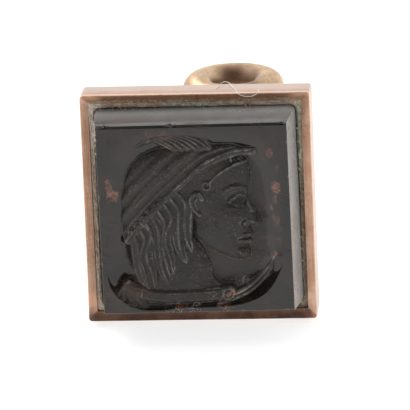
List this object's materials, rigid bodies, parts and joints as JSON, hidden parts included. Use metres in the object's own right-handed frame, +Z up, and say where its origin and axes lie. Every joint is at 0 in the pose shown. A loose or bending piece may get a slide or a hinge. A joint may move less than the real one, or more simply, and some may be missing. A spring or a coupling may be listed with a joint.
{
  "type": "fob seal",
  "caption": "Square fob seal: a dark table-cut stone with a carved helmeted bust in a coppery box setting, on a turned handle with a loop.",
  "frame": {"origin": "centre of the bounding box on the surface that the seal lies on", "axes": "+Y from the carved face back along the handle to the loop, +X to the right of the face, +Z up"},
  "size_m": [0.018, 0.0454, 0.0184],
  "materials": {
    "stone": "near-black sard, polished on the table and the sides, matt where it is carved",
    "setting": "worn rose-coppery gilding with dirt and green corrosion along the rim",
    "handle": "worn yellow gilding, darker in the hollows"
  },
  "bodies": {
    "root": {"stone": "stone", "setting": "setting", "handle": "handle"}
  },
  "joints": []
}
